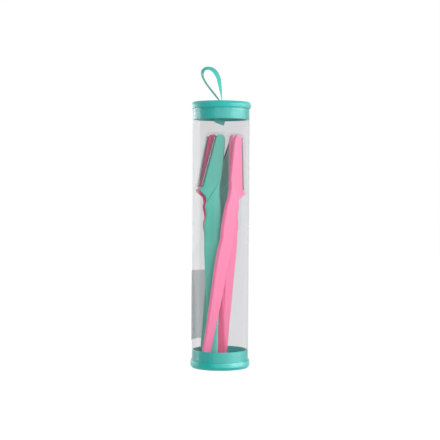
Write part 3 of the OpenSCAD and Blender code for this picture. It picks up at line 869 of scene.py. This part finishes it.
def cover_rings():
    """Height goes from the sagging rim to the flat top. The side edges draw in
    by a quarter circle at the top, and so does the thickness. A ring is a flat
    with a rounded corner at each end, in front and behind."""
    u = 0.5 - 0.5 * np.cos(math.pi * np.linspace(0, 1, 25)[None, :])
    top = 1 - 0.1 * (1 - np.sin(np.linspace(0, math.pi / 2, 11)[1:]))
    rise = np.r_[0, 0.004, 0.02, np.linspace(0.05, 0.9, 24), top][:, None]
    sag = (RIM_FRONT + RIM_BACK) / 2 - RIM_SAG
    rim = RIM_FRONT * (1 - u) ** 2 + sag * 2 * u * (1 - u) + RIM_BACK * u**2
    rim = rim + RIM_ROUND * corner_fall(u / 0.1, 1)
    z = rim + (COVER_TOP - rim) * rise
    draw = corner_fall(COVER_TOP - z, COVER_R)
    left, right = blade_side_x(z, FRONT_OUT) + draw, back_x(z, BACK_OUT) - draw
    x = left + (right - left) * u
    y = HEAD_T / 2 + COVER_GAP + COVER_WALL - corner_fall(COVER_TOP - z, COVER_SOFT)
    y = y - corner_fall(np.minimum(x - left, right - x), COVER_SOFT)
    front, back = (np.stack([x, side * y, z], -1) for side in (-1, 1))
    return np.concatenate([front, back[:, ::-1]], 1)


skin = cover_rings()
print("cover", skin.shape[:2], "points")

# %% The five covers
rows, around = skin.shape[:2]
last, j = (rows - 1) * around, np.arange(around // 2 - 1)
closing = last + np.stack([j, j + 1, around - 2 - j, around - 1 - j], -1)
cover_faces = np.concatenate([grid_faces(rows, around), closing])
for name in places:
    cover = make_piece(name + "_sheath_skin", standing(name, skin), cover_faces, sharp_deg=50)
    wall = cover.modifiers.new("wall", "SOLIDIFY")
    wall.thickness, wall.offset, wall.use_even_offset = COVER_WALL * MM, -1, True
    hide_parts(name + "_cover")
    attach(cover, name + "_sheath")
print(len(places), "covers with a wall of", COVER_WALL, "mm")

# %% [markdown]
# ## Tube and caps
#
# The tube is cut from an extruded clear pipe, so its rims are only broken, not
# rounded. The two caps are mouldings that turn about one axis: a flange with a
# slanting edge, and a plug that fills the tube. The flange's upright side has
# the draft of the mould, a little narrower where it meets the tube. The top cap
# also has a hole for the ribbon. A turned outline gives all three, with a radius
# written beside each of its corners.

# %% The tube and the two caps
TUBE_Z, TUBE_TOP = (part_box("tube")[k].z / MM for k in (0, 1))
FLANGE_R, BEVEL_H, BEVEL_IN, DRAFT, TUBE_EDGE = TUBE_R + 0.75, 2, 1, 0.35, 0.12
LID_PLUG_Z, BASE_PLUG_Z = TUBE_TOP - 7.4, TUBE_Z + 6.8
LID_INSIDE_Z, HOLE_R = LID_TOP - 1.6, 2.1
tube = turned("clear_wall", [
    [BORE_R, TUBE_Z, TUBE_EDGE], [TUBE_R, TUBE_Z, TUBE_EDGE],
    [TUBE_R, TUBE_TOP, TUBE_EDGE], [BORE_R, TUBE_TOP, TUBE_EDGE],
], sides=224, steps=3)
top_cap = turned("ribbon_cap", [
    [HOLE_R, LID_INSIDE_Z, 0.15], [CUP_R, LID_INSIDE_Z, 0.5], [CUP_R, LID_PLUG_Z, 0.2],
    [PLUG_R, LID_PLUG_Z, 0.45], [PLUG_R, TUBE_TOP, 0.1], [FLANGE_R - DRAFT, TUBE_TOP, 0.15],
    [FLANGE_R, LID_TOP - BEVEL_H, 0.3], [FLANGE_R - BEVEL_IN, LID_TOP, 0.6], [HOLE_R, LID_TOP, 0.3],
])
base_cap = turned("standing_cap", [
    [0, 0, 0], [FLANGE_R - BEVEL_IN, 0, 0.6], [FLANGE_R, BEVEL_H, 0.3],
    [FLANGE_R - DRAFT, TUBE_Z, 0.2], [PLUG_R, TUBE_Z, 0.1], [PLUG_R, BASE_PLUG_Z, 0.45],
    [CUP_R, BASE_PLUG_Z, 0.3], [CUP_R, FLOOR_T, 0.6], [0, FLOOR_T, 0],
], closed=False)
for piece, node, body in (
    (tube, "tube", "case_tube"), (top_cap, "top_cap", "lid"), (base_cap, "base_cap", "base"),
):
    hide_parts(node)
    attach(piece, body)

# %% [markdown]
# ## The sticker
#
# The sticker is a thin film with round corners that follows the tube's curve. A
# flat card bent by a modifier would need its bend fitted to the tube. Here the
# way across it becomes an angle, so it lies on the wall just as it should, off
# the plastic by no more than its glue.

# %% A patch on the tube's wall
LABEL_H, LABEL_W, LABEL_T, LABEL_Z, LABEL_R = 46, 24, 0.12, 17.5, 1.6
LABEL_TURN, LABEL_GLUE = math.radians(142), 0.02


def sticker_skin():
    """A patch of a cylinder with rounded corners: across u and up v it stands at
    the angle u / radius, and its width draws in by a quarter circle at both ends."""
    foot, top = np.linspace(0, LABEL_R, 8), np.linspace(LABEL_H - LABEL_R, LABEL_H, 8)
    v = np.r_[foot, np.linspace(foot[-1], top[0], 12)[1:-1], top][:, None]
    draw = corner_fall(np.minimum(v, LABEL_H - v), LABEL_R)
    u = np.linspace(-1, 1, 31)[None, :] * (LABEL_W / 2 - draw)
    inner = TUBE_R + LABEL_GLUE
    turn = LABEL_TURN + u / inner
    skins = [np.stack([r * np.cos(turn), r * np.sin(turn), LABEL_Z + v + 0 * u], -1)
             for r in (inner, inner + LABEL_T)]
    return skins, np.stack([u, v + 0 * u], -1)


skins, uv = sticker_skin()
print("sticker", LABEL_W, "by", LABEL_H, "mm,", LABEL_T, "mm thick")

# %% The sticker's mesh
rows, columns = uv.shape[:2]
number = np.arange(rows * columns).reshape(rows, columns)
flat = grid_faces(rows, columns, closed_columns=False)
edge = np.concatenate([number[0], number[1:, -1], number[-1, -2::-1], number[-2:0:-1, 0]])
onward = np.roll(edge, -1)
rim = np.stack([edge, onward, onward + number.size, edge + number.size], -1)
label_faces = np.concatenate([flat, flat[:, ::-1] + number.size, rim])
label = make_piece("bare_sticker", np.stack(skins), label_faces, np.stack([uv, uv]))
face_outwards(label)
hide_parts("label")
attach(label, "case_tube")
print(label.name, len(label.data.vertices), "points")

# %% [markdown]
# ## Clear plastic
#
# Thin clear plastic can be made with the glass shader, but then each wall bends
# the light twice, and the razors behind it would need many more samples to look
# clean. A wall this thin shifts nothing that a camera could see. So a clear
# piece lets light straight through, dimmer where the wall is seen edge on, and
# mirrors a share of what stands in front of it, which grows with the fifth power
# of the slant. A little milk is mixed in, more where the wall is seen edge on,
# and most of all for the covers, whose plastic is cheaper: it draws their
# outlines, pale over the heads and grey over the backdrop. Fine lines run up the
# tube where it left the die.
#
# In the photograph the backdrop is grey through the tube, while the razors in it
# keep their full colours. So the tube's grey lies on its far wall: on the inner
# surface, where it is met from inside. It dims what is seen, and takes no light
# from the razors.
#
# A lamp mirrored in so smooth a wall is a hard white stripe. The photograph has
# only one pale band, on the left, so light linking keeps every lamp but the left
# panel off the clear pieces.

# %% Clear plastic for the tube and for the covers
def clear_plastic(name, edge_tint, milk, rim_milk, share, lines, gloss=0.03, far_tint=None):
    """Straight-through light, tinted by the eighth power of the slant, then milk
    by a haze and the fourth power, then a mirror by the fifth."""
    clear = Finish(name)
    facing = clear.add("ShaderNodeLayerWeight", {}, {"Blend": 0.5}, out="Facing")
    die_lines = clear.noise(1.0, 2.0, 0.5, stretch=(1, 1, lines))
    bump = clear.dents(die_lines, depth_mm=0.01, strength=0.6)
    haze = clear.noise(7.0, 3.0, 0.55)
    mirror = clear.shader("BsdfGlossy", 1, Roughness=gloss + haze * 0.03, Normal=bump)
    straight, edge = (clear.shader("BsdfTransparent", tint) for tint in (0.99, edge_tint))
    through = clear.mixed(facing ** 8, straight, edge)
    if far_tint:
        radius = clear.add("ShaderNodeVectorMath", {"operation": "LENGTH"},
                           {0: clear.place() * (1, 1, 0)}, out="Value")
        inside = radius < (TUBE_R + BORE_R) / 2 * MM
        met_inside = inside * (1 - clear.add("ShaderNodeNewGeometry", out="Backfacing"))
        grey = clear.shader("BsdfTransparent", far_tint)
        through = clear.mixed(met_inside * clear.seen_plainly(), through, grey)
    white = clear.shader("BsdfDiffuse", (0.9, 0.92, 0.93))
    cloudy = clear.mixed(milk * (0.6 + haze * 0.8) + facing ** 4 * rim_milk, through, white)
    return clear.done(clear.mixed(share + facing ** 5 * (share * 2), cloudy, mirror))


tube_clear = clear_plastic("clear_tube", (0.80, 0.81, 0.82), milk=0.003, rim_milk=0.012,
                           share=0.018, lines=0.03, far_tint=(0.69, 0.69, 0.705))
cover_clear = clear_plastic("clear_cover", (0.90, 0.905, 0.91), milk=0.012, rim_milk=0.3,
                            share=0.006, lines=0.4, gloss=0.05)
print("clear finishes", tube_clear.name, "and", cover_clear.name)

# %% The clear pieces and their lamps
def wear(piece, material):
    """Gives a piece its finish."""
    piece.data.materials.clear()
    piece.data.materials.append(material)


clear_pieces = bpy.data.collections.new("clear_pieces")
wear(tube, tube_clear)
clear_pieces.objects.link(tube)
for name in places:
    sheath = bpy.data.objects[name + "_sheath_skin"]
    wear(sheath, cover_clear)
    clear_pieces.objects.link(sheath)
for lamp in (front, key, flank, fill):
    lamp.light_linking.receiver_collection = clear_pieces
for entry in clear_pieces.collection_objects:
    entry.light_linking.link_state = "EXCLUDE"
# A ray may cross the tube and several covers, and every wall has two skins.
bpy.context.scene.cycles.transparent_max_bounces = 64

# %% [markdown]
# ## Moulded plastic
#
# Handles and caps are injection moulded and coloured in the mass. Such plastic
# is never one flat colour: the pigment drifts a little with the flow, the skin
# has the fine grain of the steel mould, and handling leaves soft rub marks that
# change the gloss before they change the colour. Three sizes of noise do that,
# one for each cause. The sheen lamp of the studio is linked to these pieces.

# %% Moulded plastic: three colours, and two copies with painted light
def moulded(name, colour, deep, gloss=0.42, grain=0.012, coat=0.2, **more):
    """Colour by drift and rub, gloss by rub, and dents by grain and rub."""
    skin = Finish(name)
    drift = skin.noise(26, 2.0, 0.5, stretch=(1, 1, 0.35))
    rub = skin.noise(4.5, 4.0, 0.6)
    texture = skin.noise(0.32, 2.0, 0.6)
    tone = skin.blend(drift * 0.5 + rub * 0.14, colour, deep)
    bump = skin.dents(texture + rub * 2.0, grain)
    return skin.done(skin.surface(tone, Roughness=gloss - 0.08 + rub * 0.16, Normal=bump,
                                  Coat_Weight=coat, Coat_Roughness=0.36, **more))


handle_paint = {
    "teal_handle": ((0.12, 0.56, 0.45), (0.08, 0.49, 0.39)),
    # The back teal razor is the same plastic as the front one. This redder copy is painted light:
    # the pink light that the pink razors beside it throw onto it in its shade.
    "deep_teal_handle": ((0.15, 0.56, 0.44), (0.11, 0.48, 0.37)),
    "pink_handle": ((0.90, 0.205, 0.395), (0.83, 0.155, 0.335)),
    # The back pink razor is the same plastic as the other two pinks. This darker copy is painted
    # shade, for the shadow of the front pink razor.
    "deep_pink_handle": ((0.77, 0.095, 0.24), (0.66, 0.065, 0.18)),
}
plastics = {slot: moulded(slot, *paint, Specular_IOR_Level=0.25)
            for slot, paint in handle_paint.items()}
cap_plastic = moulded("teal_cap", (0.003, 0.45, 0.405), (0.002, 0.38, 0.34),
                      gloss=0.36, grain=0.008, coat=0.8, Specular_IOR_Level=0.15)
print("moulded plastics", [*plastics, cap_plastic.name])

# %% The mouldings and their lamp
# The back pink and back teal razors take the copies with painted shade and painted bounce light.
handle_slots = {
    "front_teal": "teal_handle", "back_pink": "deep_pink_handle", "back_teal": "deep_teal_handle",
    "front_pink": "pink_handle", "side_pink": "pink_handle",
}
mouldings = bpy.data.collections.new("mouldings")
for name, slot in handle_slots.items():
    handle = bpy.data.objects[name + "_moulding"]
    wear(handle, plastics[slot])
    mouldings.objects.link(handle)
for cap in (top_cap, base_cap):
    wear(cap, cap_plastic)
    mouldings.objects.link(cap)
sheen.light_linking.receiver_collection = mouldings

# %% [markdown]
# ## Steel, satin and the sticker
#
# The blade's flat is brushed along its length and its ground edge across it, and
# the ground strip is brighter. The guard is etched sheet, darker and even. Satin
# shines along its long threads, so its gloss is stretched across the ribbon and
# its fine ridges run round it. The sticker is plain film with a paler band at
# its top, thin enough that the light behind it shines through.

# %% Steel
def ground_steel():
    """Two noises, stretched along the blade and across it, one on each side of
    the line where the grinding ends."""
    steel = Finish("blade_steel")
    uv, across, _ = steel.own_map()
    ground = across < (GRIND - SHOW)
    along = steel.noise(1.0, 3.0, 0.6, stretch=(0.02, 0.0009, 1), at=uv)
    over = steel.noise(1.0, 2.0, 0.5, stretch=(0.001, 0.03, 1), at=uv)
    scratch = along * (1 - ground) + over * ground
    tone = steel.blend(scratch * 0.6 + ground * 0.3, (0.36, 0.38, 0.39), (0.62, 0.64, 0.65))
    return steel.done(steel.surface(tone, Metallic=1.0, Roughness=0.2 + scratch * 0.18,
                                    Normal=steel.dents(scratch, 0.004)))


def etched_steel():
    """A fine even grain over a slow drift."""
    steel = Finish("guard_steel")
    fine, wide = steel.noise(0.12, 3.0, 0.6), steel.noise(3.0, 2.0, 0.5)
    tone = steel.blend(fine * 0.5 + wide * 0.4, (0.05, 0.07, 0.07), (0.09, 0.12, 0.12))
    return steel.done(steel.surface(tone, Metallic=0.6, Roughness=0.34 + fine * 0.15,
                                    Normal=steel.dents(fine, 0.006)))


blade_finish, guard_finish = ground_steel(), etched_steel()
for name in places:
    wear(bpy.data.objects[name + "_edge"], blade_finish)
    wear(bpy.data.objects[name + "_fold"], guard_finish)
print("steel on", len(places), "blades and as many guards")

# %% Satin
THREAD_MM, CROSS_MM, SELVEDGE_MM = 0.16, 0.22, 0.3


def woven_satin():
    """Two sines, of the threads along the ribbon and across it, and a darker
    strip where the way to the side is nearly half the width."""
    satin = Finish("satin_ribbon")
    uv, across, along = satin.own_map()
    threads = satin.maths("SINE", along * (2 * math.pi / THREAD_MM))
    cross = satin.maths("SINE", across * (2 * math.pi / CROSS_MM))
    weave = 0.5 + threads * 0.32 + cross * 0.12
    selvedge = satin.maths("ABSOLUTE", across) > (RIBBON_W / 2 - SELVEDGE_MM)
    uneven = satin.noise(1.0, 2.0, 0.5, stretch=(0.0004, 0.0018, 1), at=uv)
    tone = satin.blend(weave * 0.35 + uneven * 0.4, (0.02, 0.38, 0.34), (0.06, 0.56, 0.50))
    tone = satin.blend(selvedge * 0.35, tone, (0.02, 0.36, 0.32))
    return satin.done(satin.surface(tone, Roughness=0.36 + uneven * 0.12,
                                    Normal=satin.dents(weave, 0.02),
                                    Sheen_Weight=0.12, Sheen_Roughness=0.4))


satin = woven_satin()
for piece in (loop, knot):
    wear(piece, satin)
print("ridges of the satin", THREAD_MM, "mm apart")

# %% The sticker's film
LABEL_BAND, SHINE_THROUGH = 6, 0.42


def plain_film():
    """A fibrous white, paler above a line near the top, mixed with what shines
    through it."""
    film = Finish("sticker")
    _, _, up = film.own_map()
    fibre = film.noise(0.4, 3.0, 0.6)
    tone = film.blend(up > (LABEL_H - LABEL_BAND), (0.88, 0.92, 0.92), (0.97, 0.99, 1.0))
    tone = film.blend(fibre * 0.2, tone, (0.78, 0.82, 0.82))
    face = film.surface(tone, Roughness=0.45 + fibre * 0.15, Normal=film.dents(fibre, 0.01, 0.4))
    glow = film.shader("BsdfTranslucent", (0.93, 0.95, 0.95))
    return film.done(film.mixed(SHINE_THROUGH, face, glow))


wear(label, plain_film())
print("the sticker is paler over its top", LABEL_BAND, "mm")

# %% [markdown]
# ## The view transform
#
# Colours are shown through the Standard view transform.

bpy.context.scene.view_settings.view_transform = "Standard"
